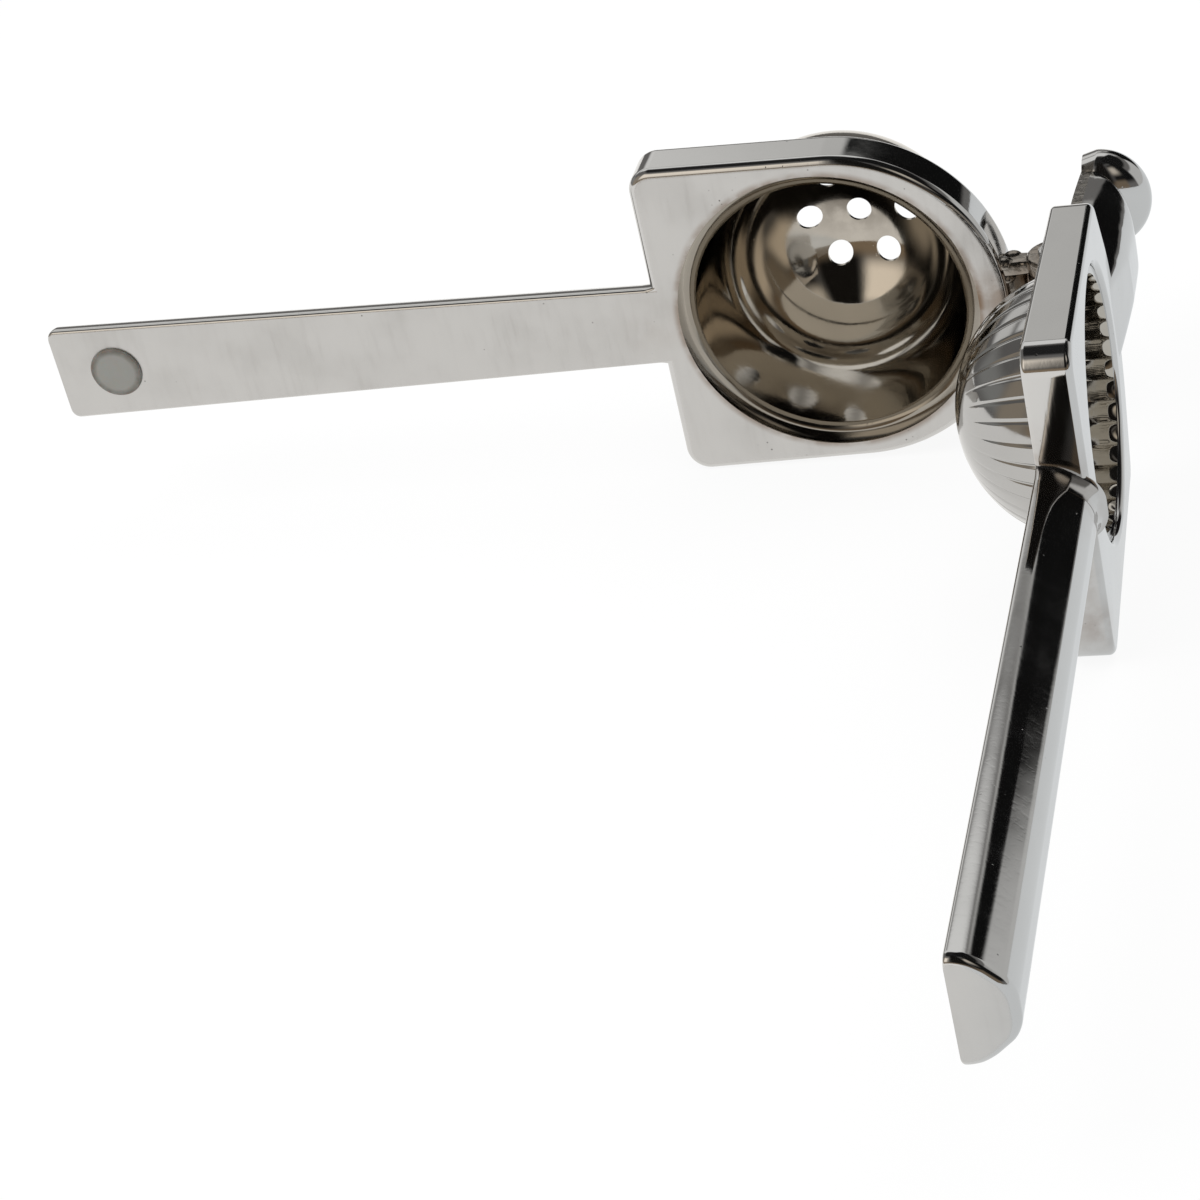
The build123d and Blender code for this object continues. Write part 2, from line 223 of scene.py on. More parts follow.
@dataclass(frozen=True)
class Steel:
    """A stainless finish with waves, fine scratches, pits and brown tint in its corners."""

    name: str
    tone: Triple = (0.60, 0.595, 0.585)
    tint: Triple = (0.20, 0.13, 0.08)
    smooth: float = 0.05
    rough: float = 0.10
    wave: float = 0.10
    wave_scale: float = 45.0
    wave_depth: float = 0.0006
    grain: float = 0.02
    grain_depth: float = 0.00008
    grain_strength: float = 0.25
    scratch_scale: float = 900.0
    scratch_stretch: Triple = (1.0, 1.0, 0.12)
    haze_scale: float = 70.0
    haze_share: float = 0.25
    haze_dim: float = 0.88
    pits: float = 0.35
    pit_scale: float = 520.0
    pit_patches: float = 160.0
    pit_tone: Triple = (0.05, 0.045, 0.04)
    patches: float = 220.0
    stains: tuple[Stain, ...] = ()

    def marks(self, g: Graph, place: NodeSocket) -> NodeSocket:
        """Sum the stains.

        Args:
            g: The material's graph.
            place: The coordinate output.

        Returns:
            The share of brown at each point.
        """
        total: object = 0.0
        for stain in self.stains:
            centre = PIN + Vector(stain.place) * MM
            back = tuple(-c * share for c, share in zip(centre, stain.plane))
            flat = g.add("VectorMath", {0: place, 1: stain.plane, 2: back}, operation="MULTIPLY_ADD")
            length = g.add("VectorMath", {0: flat.outputs[0]}, operation="LENGTH").outputs["Value"]
            away = g.math("ABSOLUTE", g.math("SUBTRACT", length, stain.radius * MM))
            total = g.math("ADD", total, g.ramp(away, 0.0, stain.reach * MM, stain.depth, 0.0))
        patchy = g.ramp(g.noise(place, self.patches, 6.0), 0.30, 0.62, 0.25, 1.0)
        return g.math("MULTIPLY", total, patchy, clamp=True)

    def build(self) -> Material:
        """Return the finish as a node material."""
        material, g = new_material(self.name)
        place = g.add("TexCoord").outputs["Object"]
        haze = g.ramp(g.noise(place, self.haze_scale, 5.0), 0.35, 0.75)
        wear = g.ramp(g.noise(place, self.scratch_scale, 4.0, self.scratch_stretch), 0.45, 0.75)
        finest = g.ramp(haze, 0.0, 1.0, self.smooth, self.rough)
        roughness = g.math("ADD", finest, g.math("MULTIPLY", wear, self.grain))
        cells = g.add("TexVoronoi", {"Vector": place, "Scale": self.pit_scale})
        speck = g.ramp(cells.outputs["Distance"], 0.05, 0.13, 1.0, 0.0)
        chosen = g.ramp(g.noise(place, self.pit_patches, 2.0), 0.60, 0.66)
        pit = g.math("MULTIPLY", speck, chosen)
        hazy = g.math("MULTIPLY", haze, self.haze_share)
        dimmed = tuple(c * self.haze_dim for c in self.tone)
        tone = g.blend(hazy, self.tone, dimmed)
        if self.stains:
            tone = g.blend(self.marks(g, place), tone, self.tint)
        tone = g.blend(g.math("MULTIPLY", pit, self.pits), tone, self.pit_tone)
        wave = g.add("Bump", {
            "Strength": self.wave, "Distance": self.wave_depth,
            "Height": g.noise(place, self.wave_scale, 2.0),
        })
        fine = g.add("Bump", {
            "Strength": self.grain_strength, "Distance": self.grain_depth,
            "Height": g.math("ADD", g.math("MULTIPLY", wear, self.grain * 4), pit),
            "Normal": wave.outputs[0],
        }, invert=True)
        g.output("Material", g.add("BsdfPrincipled", {
            "Metallic": 1.0, "Base Color": tone, "Roughness": roughness, "Normal": fine.outputs[0],
        }))
        return material


@dataclass(frozen=True)
class Silicone:
    """Cloudy grey silicone with a denser ring at its edge, round a centre in millimetres from the pin."""

    name: str
    centre: Triple
    reach: float = 6.4
    edge: Triple = (0.13, 0.12, 0.10)
    core: Triple = (0.27, 0.265, 0.24)
    cloud: Triple = (0.28, 0.285, 0.275)
    cloud_share: float = 0.35
    cloud_scale: float = 380.0
    skin_scale: float = 2500.0

    def build(self) -> Material:
        """Return the finish as a node material."""
        material, g = new_material(self.name)
        place = g.add("TexCoord").outputs["Object"]
        inner = g.near(place, PIN + Vector(self.centre) * MM, self.reach * MM)
        cloud = g.ramp(g.noise(place, self.cloud_scale, 5.0), 0.3, 0.7)
        tone = g.blend(g.ramp(inner, 0.05, 0.30), self.edge, self.core)
        tone = g.blend(g.math("MULTIPLY", cloud, self.cloud_share), tone, self.cloud)
        skin = g.noise(place, self.skin_scale, 3.0)
        bump = g.add("Bump", {"Strength": 0.2, "Distance": 0.0001, "Height": skin})
        g.output("Material", g.add("BsdfPrincipled", {
            "Base Color": tone, "Roughness": 0.42, "IOR": 1.41, "Subsurface Weight": 0.35,
            "Subsurface Scale": 0.002, "Normal": bump.outputs[0],
        }))
        return material


CORNERS = (
    Stain((0, -86, 0), 22, 0.7),
    Stain((-10, 0, 0), 12, 0.9),
    Stain((-84, 0, 0), 12, 0.15),
    Stain((8, -84, -16), 7, 0.55),
    Stain((11, -84, -26), 9, 0.40),
)


class Finish(Enum):
    """The finishes that the pieces wear."""

    POLISHED = Steel("steel_polished", stains=CORNERS)
    SATIN = Steel(
        "steel_satin", tone=(0.57, 0.563, 0.55), smooth=0.30, rough=0.40, wave=0.05, grain=0.08, pits=0.8,
        stains=(Stain((-47.5, 0, 0), 1.6, 0.6, 31.3, (1, 0, 1)), *CORNERS[1:]),
    )
    WELD = Steel(
        "steel_weld", tone=(0.32, 0.30, 0.27), smooth=0.16, rough=0.34, wave=0.8, wave_scale=300.0,
        stains=(Stain((0, 0, 0), 18, 0.9),),
    )
    SILICONE = Silicone("silicone_cloudy", (-206.8, -4.1, 0))
    BOWL = Steel(
        "steel_bowl", tone=(0.50, 0.465, 0.41), smooth=0.05, rough=0.12, wave=0.16, wave_scale=32.0,
        # The bowl's patch makes its bottom darker and browner, most on its upper side.
        tint=(0.13, 0.11, 0.09), stains=(Stain((-47.5, 42, 7), 19, 0.95),),
    )
    PRESSED = Steel("steel_pressed", tone=(0.47, 0.465, 0.455), smooth=0.07, rough=0.15)
    CAST = Steel("steel_cast", wave=0.5, wave_scale=60.0, stains=CORNERS[:2])


@cache
def worn(finish: Finish) -> Material:
    """Return a finish's material, built once."""
    return finish.value.build()


def is_fold(edge: BMEdge) -> bool:
    """Return whether an edge lies between two faces that clearly differ in direction."""
    return len(edge.link_faces) == 2 and edge.calc_face_angle(0.0) > FOLD


@dataclass
class Shape:
    """A mesh in its piece's own millimetres, with the metalworking steps that the pieces share."""

    mesh: BMesh = field(default_factory=bmesh.new, kw_only=True)

    def all(self) -> list[object]:
        """Return every vertex, edge and face."""
        return [*self.mesh.verts, *self.mesh.edges, *self.mesh.faces]

    def disc(self, centre: Point, radius: float, depth: float, segments: int = 192) -> None:
        """Add a closed round block.

        Args:
            centre: Middle of its lower face.
            radius: Its radius.
            depth: Its height.
            segments: Steps round it.
        """
        ops.create_cone(
            self.mesh, cap_ends=True, segments=segments, radius1=radius, radius2=radius, depth=depth,
            matrix=Matrix.Translation(Vector(centre) + Vector((0, 0, depth / 2))),
        )

    def wrap(self) -> None:
        """Replace what the mesh holds with the tight skin round its vertices."""
        bm = self.mesh
        ops.delete(bm, geom=list(bm.edges), context="EDGES_FACES")
        ops.convex_hull(bm, input=list(bm.verts))
        ops.delete(bm, geom=[v for v in bm.verts if not v.link_faces], context="VERTS")
        least = radians(0.3)
        ops.dissolve_limit(bm, angle_limit=least, verts=list(bm.verts), edges=list(bm.edges))

    def trim(self, point: Point, outward: Point) -> None:
        """Cut away what lies beyond the plane through a point."""
        ops.bisect_plane(
            self.mesh, geom=self.all(), dist=0.001, plane_co=point, plane_no=outward, clear_outer=True
        )

    def join(self, part: BMesh) -> None:
        """Move a part into the mesh."""
        data = store(part, "part")
        self.mesh.from_mesh(data)
        bpy.data.meshes.remove(data)

    def bevel(self, geom: Iterable[object], width: float, steps: int, affect: str = "EDGES") -> None:
        """Round the given edges or vertices.

        Args:
            geom: The edges or vertices to round.
            width: Distance from each to where the round starts.
            steps: Faces across the round.
            affect: EDGES or VERTICES.
        """
        ops.bevel(
            self.mesh, geom=list(geom), offset=width, offset_type="OFFSET", segments=steps,
            profile=0.5, affect=affect, clamp_overlap=True, material=-1,
        )

    def soften(self, width: float, steps: int, *heights: float) -> None:
        """Round the rims that lie flat at the given heights.

        Args:
            width: Distance from each rim to where the round starts.
            steps: Faces across the round.
            *heights: Where the rims lie.
        """
        rims = [
            e for height in heights for e in self.mesh.edges
            if all(abs(v.co.z - height) < 0.02 for v in e.verts) and is_fold(e)
        ]
        self.bevel(rims, width, steps)

    def bore(
        self, reach: float, low: float, high: float, height: Callable[[float], float], lip: float = 0.0
    ) -> None:
        """Open a round hole between the two widest flat faces.

        Args:
            reach: Distance along to the hole's middle.
            low: Radius at the first face, which lies at height 0.
            high: Radius at the second face.
            height: Gives the height of the second face at a reach.
            lip: Round at the second rim.
        """
        bm = self.mesh
        bm.normal_update()
        rims = []
        for side in (-1, 1):
            face = max((f for f in bm.faces if f.normal.z * side > 0.9), key=lambda f: f.calc_area())
            rims.append(list(face.edges))
            ops.delete(bm, geom=[face], context="FACES_ONLY")
        place = Matrix.Translation((reach, 0, 0))
        ring = ops.create_circle(bm, segments=180, radius=low, matrix=place)["verts"]
        start = list({e for v in ring for e in v.link_edges})
        ops.triangle_fill(bm, use_beauty=True, edges=rims[0] + start)
        made = ops.extrude_edge_only(bm, edges=start)["geom"]
        risen = [g for g in made if isinstance(g, BMVert)]
        about = Matrix.Translation((-reach, 0, 0))
        ops.scale(bm, verts=risen, vec=(high / low, high / low, 1), space=about)
        for vert in risen:
            vert.co.z = height(vert.co.x)
        top = [g for g in made if isinstance(g, BMEdge) and all(v in risen for v in g.verts)]
        ops.triangle_fill(bm, use_beauty=True, edges=rims[1] + top)
        ops.recalc_face_normals(bm, faces=bm.faces)
        if lip > 0.0:
            self.bevel([e for e in top if e.is_valid], lip, 6)

    def arc(self, start: BMVert, centre: Point, side: int, angle: float, steps: int) -> BMVert:
        """Swing a vertex round a centre and keep the line it draws.

        Args:
            start: The vertex to swing.
            centre: The middle of the arc.
            side: 1 or -1, the way that the axis points across.
            angle: How far it turns, in degrees.
            steps: Pieces of the arc.

        Returns:
            The last vertex.
        """
        made = ops.spin(
            self.mesh, geom=[start], cent=centre, axis=(0, side, 0), angle=radians(angle), steps=steps
        )
        return next(g for g in made["geom_last"] if isinstance(g, BMVert))

    def line(self, start: BMVert, point: Point) -> BMVert:
        """Draw a straight edge.

        Args:
            start: The vertex it starts from.
            point: Where it ends.

        Returns:
            The new vertex at its end.
        """
        end = self.mesh.verts.new(point)
        self.mesh.edges.new((start, end))
        return end

    def turn(self, reach: float, wedges: int, steps: int) -> None:
        """Spin the drawn profile through one wedge, then repeat the wedge round the axis.

        Args:
            reach: Distance along to the axis.
            wedges: Wedges in a full turn.
            steps: Spin steps in a wedge.
        """
        bm, centre = self.mesh, (reach, 0, 0)
        ops.spin(bm, geom=self.all(), cent=centre, axis=(0, 0, 1), angle=tau / wedges, steps=steps)
        wedge = self.all()
        for index in range(1, wedges):
            made = ops.duplicate(bm, geom=wedge)["geom"]
            turned = [g for g in made if isinstance(g, BMVert)]
            turn = Matrix.Rotation(tau * index / wedges, 3, "Z")
            ops.rotate(bm, cent=centre, matrix=turn, verts=turned)
        ops.remove_doubles(bm, verts=bm.verts, dist=SAME_PLACE)

    def cut(self, obj: Object, datum: Datum) -> None:
        """Subtract this tool from a finished object and keep the result as its mesh.

        Args:
            obj: The object to cut.
            datum: Where the tool's measures start.
        """
        tool = self.mesh
        ops.transform(tool, matrix=datum.matrix(), verts=tool.verts)
        ops.recalc_face_normals(tool, faces=tool.faces)
        cutter = place_object("cutter", store(tool, "cutter"))
        step = obj.modifiers.new("cut", "BOOLEAN")
        step.operation, step.solver, step.object = "DIFFERENCE", "EXACT", cutter
        bpy.context.view_layer.update()
        graph = bpy.context.evaluated_depsgraph_get()
        graph.update()
        made = bpy.data.meshes.new_from_object(obj.evaluated_get(graph))
        obj.modifiers.remove(step)
        old, obj.data = obj.data, made
        made.name = old.name
        bpy.data.meshes.remove(old)
        bpy.data.objects.remove(cutter)


@dataclass
class Piece(Shape):
    """A mesh on its way to becoming a named piece of the object."""

    name: str
    datum: Datum
    body: Body
    node: str
    finishes: tuple[Finish, ...]
    slot: Slot = Slot.POLISHED
    crease: float = 32.0

    def close(self, paint: Optional[Callable[[BMFace], int]] = None, weighted: bool = True) -> Object:
        """Turn the mesh into an object that rides on its body.

        Args:
            paint: Gives each face its material index, in the piece's own millimetres.
            weighted: Whether flat faces keep their own direction beside small fillets.

        Returns:
            The finished object.
        """
        bm = self.mesh
        ops.remove_doubles(bm, verts=bm.verts, dist=SAME_PLACE)
        ops.recalc_face_normals(bm, faces=bm.faces)
        for face in bm.faces:
            face.smooth = True
            if paint is not None:
                face.material_index = paint(face)
        limit = radians(self.crease)
        for edge in bm.edges:
            edge.smooth = len(edge.link_faces) != 2 or edge.calc_face_angle(0.0) < limit
        ops.transform(bm, matrix=self.datum.matrix(), verts=bm.verts)
        data = store(bm, self.name)
        obj = place_object(self.name, data)
        for finish in self.finishes:
            data.materials.append(worn(finish))
        if weighted:
            normals = obj.modifiers.new("flat_faces", "WEIGHTED_NORMAL")
            normals.keep_sharp = True
            normals.weight = 100
        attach(obj, self.body.value)
        if self.node:
            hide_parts(self.node)
        LOG.info("piece %s: %d faces", self.name, len(data.polygons))
        return obj


def paint_face(face: BMFace) -> int:
    """Return the satin index for what lies in the datum's plane."""
    return int(face.normal.z < -FLAT)


def paint_face_and_end(face: BMFace) -> int:
    """Return the satin index for what lies in the datum's plane or ends the bar."""
    return int(face.normal.z < -FLAT or face.normal.x > FLAT)


@dataclass
class Bar:
    """A half-round handle bar that grows towards its end, with a flared weld at its root."""

    root_reach: float
    weld_spread: float
    weld_reach: float
    end_reach: float = 220.4
    root_half_width: float = 8.7
    end_half_width: float = 10.9
    side_height: float = 2.2
    side_round: float = 1.3
    brow_height: float = 4.9
    brow_share: float = 0.89
    brow_round: float = 1.6
    depth: float = 10.2
    back_share: float = 0.42
    back_round: float = 2.4
    end_round: float = 1.7
    face_round: float = 0.6
    round_steps: int = 8
    weld_sink: float = 0.6
    weld_swell: float = 1.002
    weld_lift: float = 0.08

    def section(self, piece: Piece) -> BMFace:
        """Draw the bar's rounded section at its root.

        Args:
            piece: The piece to draw it in.

        Returns:
            The section's face.
        """
        bm = piece.mesh
        hw = self.root_half_width
        half = [
            (hw, 0, self.face_round),
            (hw, self.side_height, self.side_round),
            (hw * self.brow_share, self.brow_height, self.brow_round),
            (hw * self.back_share, self.depth, self.back_round),
        ]
        corners = [(-y, z, r) for y, z, r in half] + half[::-1]
        ring = [bm.verts.new((self.root_reach, y, z)) for y, z, _ in corners]
        bm.faces.new(ring)
        for vert, (_, _, radius) in zip(ring, corners):
            piece.bevel([vert], radius, 4 if radius < 1 else 7, "VERTICES")
        return next(iter(bm.faces))

    def loft(self, piece: Piece, start: float, stations: Iterable[Triple]) -> None:
        """Extrude the section from station to station and keep the skin.

        Args:
            piece: The piece to fill.
            start: Place of the first section, as the stations count it.
            stations: Place along, width and depth of each further section, the last two as shares.
        """
        bm, face = piece.mesh, self.section(piece)
        place, wide, deep = start, 1.0, 1.0
        for index, (next_place, next_wide, next_deep) in enumerate(stations):
            made = ops.extrude_face_region(bm, geom=[face])["geom"]
            if index:
                ops.delete(bm, geom=[face], context="FACES_ONLY")
            face = next(g for g in made if isinstance(g, BMFace))
            ops.translate(bm, verts=list(face.verts), vec=(next_place - place, 0, 0))
            ops.scale(bm, verts=list(face.verts), vec=(1, next_wide / wide, next_deep / deep))
            place, wide, deep = next_place, next_wide, next_deep

    def swings(self, first: int) -> list[tuple[float, float]]:
        """Return the sine and the versine of a quarter turn's steps, from a first one on."""
        turns = [QUARTER * step / self.round_steps for step in range(first, self.round_steps + 1)]
        return [(sin(turn), 1 - cos(turn)) for turn in turns]

    def flare(self, piece: Piece) -> None:
        """Model the weld that flares from the bar to the frame.

        Args:
            piece: The weld's own empty piece.
        """
        shares = [(1 - s) * self.weld_spread / self.depth + self.weld_swell for s, _ in self.swings(0)]
        places = [self.weld_reach * v for _, v in self.swings(0)]
        self.loft(piece, -self.weld_sink, zip(places, shares, shares))
        ops.translate(piece.mesh, verts=list(piece.mesh.verts), vec=(0, 0, self.weld_lift))
        piece.close(weighted=False)

    def build(self, piece: Piece) -> None:
        """Model the bar, which grows along its run and ends rounded.

        Args:
            piece: The bar's empty piece.
        """
        straight, grown = self.end_reach - self.end_round, self.end_half_width / self.root_half_width
        end = [
            (straight + self.end_round * s, grown * (1 - self.end_round * v / self.end_half_width),
             1 - self.end_round * v / self.depth)
            for s, v in self.swings(1)
        ]
        self.loft(piece, self.root_reach, [(straight, grown, 1.0), *end])
        ops.recalc_face_normals(piece.mesh, faces=piece.mesh.faces)
        piece.close(paint_face_and_end)


@dataclass
class Arm:
    """What the two arms share: some sizes and the way they start a piece."""

    datum: ClassVar[Datum]
    body: ClassVar[Body]
    square_reach: ClassVar[float] = 83.8
    bowl_reach: ClassVar[float] = 47.5
    corner_radius: ClassVar[float] = 5.0
    knuckle_radius: ClassVar[float] = 6.0

    def piece(
        self, name: str, node: str, *finishes: Finish, datum: Optional[Datum] = None, **options: object
    ) -> Piece:
        """Start a piece of this arm.

        Args:
            name: Its name.
            node: The node that it replaces, or nothing for a piece of weld.
            *finishes: Its finishes.
            datum: Where its measures start, if not at the arm's flat face.
            **options: Its slot, which nothing here uses, and its crease.

        Returns:
            The piece, with an empty mesh.
        """
        return Piece(name, datum or self.datum, self.body, node, finishes, **options)

    def handle(self, node: str, slot: Slot, bar: Bar) -> None:
        """Build a handle bar and its weld, both named after the node."""
        bar.flare(self.piece(node + "_weld", "", Finish.POLISHED, crease=80.0))
        bar.build(self.piece(node + "_bar", node, Finish.POLISHED, Finish.SATIN, slot=slot))


@dataclass
class Cup(Arm):
    """The arm with the bowl: frame plate, bowl, handle, bumper and hinge ears."""

    datum = Datum.CUP
    body = Body.CUP_ARM
    thickness: float = 11.7
    half_width: float = 35.7
    round_reach: float = 44.9
    round_radius: float = 35.0
    face_round: float = 1.9
    back_round: float = 2.4
    bore_radius: float = 31.3
    lip_radius: float = 3.3
    bottom_radius: float = 32.0
    foot_radius: float = 22.0
    bowl_depth: float = 45.5
    wall: float = 0.7
    draft: float = 2.5
    drain_radius: float = 2.7
    drain_ring: float = 10.64
    drain_count: int = 6
    bumper_reach: float = 206.8
    bumper_radius: float = 5.85
    bumper_low: float = -0.7
    bumper_height: float = 1.9
    bumper_round: float = 0.5
    ear_height: float = 4.0
    ear_low: float = 4.0
    ear_round: float = 1.1
    head_radius: float = 3.4
    head_height: float = 0.9
    head_round: float = 0.6
    pin_radius: float = 2.2
    pin_half_length: float = 8.2
    lug_radius: float = 2.2
    lug_round: float = 0.8
    lug_foot: Triple = (-13.0, 0.6, 3.0)
    beads: tuple[Triple, ...] = ((-10.8, -0.6, 1.9), (-8.9, 2.4, 1.5))
    bead_shape: Triple = (1.25, 1.0, 0.7)

    def frame_plate(self) -> None:
        """Build the plate that holds the bowl."""
        finishes = (Finish.POLISHED, Finish.SATIN)
        piece = self.piece("cup_frame_plate", "cup_frame", *finishes, slot=Slot.SATIN)
        piece.disc((self.round_reach, 0, 0), self.round_radius, self.thickness)
        corner = self.half_width - self.corner_radius
        for side in (-1, 1):
            centre = (self.square_reach - self.corner_radius, side * corner, 0)
            piece.disc(centre, self.corner_radius, self.thickness, 96)
        piece.wrap()
        piece.soften(self.face_round, 6, 0.0)
        piece.soften(self.back_round, 6, self.thickness)
        piece.bore(self.bowl_reach, self.bore_radius, self.bore_radius, lambda x: self.thickness)
        piece.close(paint_face)

    def foot(self) -> Triple:
        """Fit the arc at the wall's foot between the drafted wall and the round bottom.

        Returns:
            How far its middle lies off the axis and deep, and half the bottom's angle.
        """
        lean, reach = radians(self.draft), self.bottom_radius - self.foot_radius
        centre_z, throat = self.bowl_depth - self.bottom_radius, self.bore_radius - self.lip_radius
        beside = throat * cos(lean) - (centre_z - self.lip_radius) * sin(lean) - self.foot_radius
        swing = asin(beside / reach) - lean
        return (reach * sin(swing), centre_z + reach * cos(swing), degrees(swing))

    def bowl(self) -> None:
        """Build the bowl with its rolled lip, drafted wall and drain holes."""
        piece = self.piece("cup_bowl_shell", "cup_bowl", Finish.BOWL)
        bm = piece.mesh
        axis, lean = self.bowl_reach, radians(self.draft)
        foot_off, foot_z, swing = self.foot()
        foot = (axis + foot_off, 0, foot_z)
        centre = (axis, 0, self.bowl_depth - self.bottom_radius)
        rise = 90 - self.draft - swing
        inner = bm.verts.new((axis, 0, self.bowl_depth))
        floor = piece.arc(inner, centre, 1, swing, 24)
        top = piece.arc(floor, foot, 1, rise, 30)
        throat = piece.line(top, (axis + self.bore_radius - self.lip_radius, 0, self.lip_radius))
        lip = piece.arc(throat, (axis + self.bore_radius, 0, self.lip_radius), -1, -90, 8)
        back = piece.line(lip, (axis + self.bore_radius, 0, self.thickness))
        outer = self.foot_radius + self.wall
        collar = Vector((foot[0] + outer * cos(lean), 0, foot_z + outer * sin(lean)))
        spread = (collar.z - self.thickness) * tan(lean)
        shoulder = piece.line(back, (collar.x + spread, 0, self.thickness))
        corner = piece.arc(piece.line(shoulder, collar), foot, -1, rise, 30)
        piece.arc(corner, centre, -1, swing, 24)
        piece.turn(axis, 12, 15)
        obj = piece.close(weighted=False)
        tool = Shape()
        low, height = self.bowl_depth - self.drain_ring, self.drain_ring + 4
        tool.disc((axis, 0, low), self.drain_radius, height, 48)
        for step in range(self.drain_count):
            angle = radians(360 / self.drain_count * step)
            place = (axis + self.drain_ring * cos(angle), self.drain_ring * sin(angle), low)
            tool.disc(place, self.drain_radius, height, 48)
        tool.cut(obj, self.datum)

    def bumper(self) -> None:
        """Build the silicone bumper that stands proud of the handle's flat face."""
        piece = self.piece("handle_bumper_button", "handle_bumper", Finish.SILICONE, slot=Slot.SILICONE)
        centre = (self.bumper_reach, 0, self.bumper_low)
        piece.disc(centre, self.bumper_radius, self.bumper_height, 72)
        piece.soften(self.bumper_round, 4, self.bumper_low)
        piece.close()

    def ears(self) -> None:
        """Build the two knuckle ears, each with its lug to the frame."""
        for name, node, low, lug_low in (
            ("hinge_ear_top", "hinge_ear_upper", self.ear_low, 4.0),
            ("hinge_ear_bottom", "hinge_ear_lower", -self.ear_low - self.ear_height, -7.0),
        ):
            piece = self.piece(name, node, Finish.WELD, datum=Datum.PIN)
            piece.disc((0, 0, low), self.knuckle_radius, self.ear_height, 64)
            piece.soften(self.ear_round, 5, low, low + self.ear_height)
            self.lug(piece, lug_low, 3.0, (-4.5, 0.6))

    def pin(self) -> None:
        """Build the pin with its two riveted heads."""
        piece = self.piece("hinge_pin_rivet", "hinge_pin", Finish.POLISHED, datum=Datum.PIN)
        inner = self.ear_low + self.ear_height
        outer = inner + self.head_height
        for low in (-outer, inner):
            piece.disc((0, 0, low), self.head_radius, self.head_height, 48)
        piece.soften(self.head_round, 4, -outer, outer)
        piece.disc((0, 0, -self.pin_half_length), self.pin_radius, 2 * self.pin_half_length, 48)
        piece.close()

    def lug(self, piece: Piece, low: float, depth: float, start: tuple[float, float]) -> None:
        """Add the lug that ties the knuckle to the frame, with its two beads of weld, and finish the piece.

        Args:
            piece: The piece that the lug belongs to.
            low: Height of its lower face from the pin's middle.
            depth: Its height.
            start: Where it starts, along and across from the pin.
        """
        lug = Shape()
        lug.disc((*start, low), self.lug_radius, depth, 32)
        along, across, radius = self.lug_foot
        lug.disc((along, across, low), radius, depth, 32)
        lug.wrap()
        lug.soften(self.lug_round, 4, low, low + depth)
        for along, across, size in self.beads:
            place = Matrix.Translation((along, across, low + depth - 0.5))
            shape = Matrix.Diagonal((*self.bead_shape, 1.0))
            ops.create_icosphere(lug.mesh, subdivisions=4, radius=size, matrix=place @ shape)
        piece.join(lug.mesh)
        piece.close(weighted=False)

    def build(self) -> None:
        """Build every piece of the cup's arm."""
        self.frame_plate()
        self.bowl()
        bar = Bar(self.square_reach - self.face_round, weld_spread=1.2, weld_reach=4.0)
        self.handle("cup_handle", Slot.SATIN, bar)
        self.bumper()
        self.ears()
        middle = self.piece("hinge_lug_middle", "", Finish.WELD, datum=Datum.PIN)
        self.lug(middle, -3.9, 7.8, (-8.5, 2.2))
        self.pin()


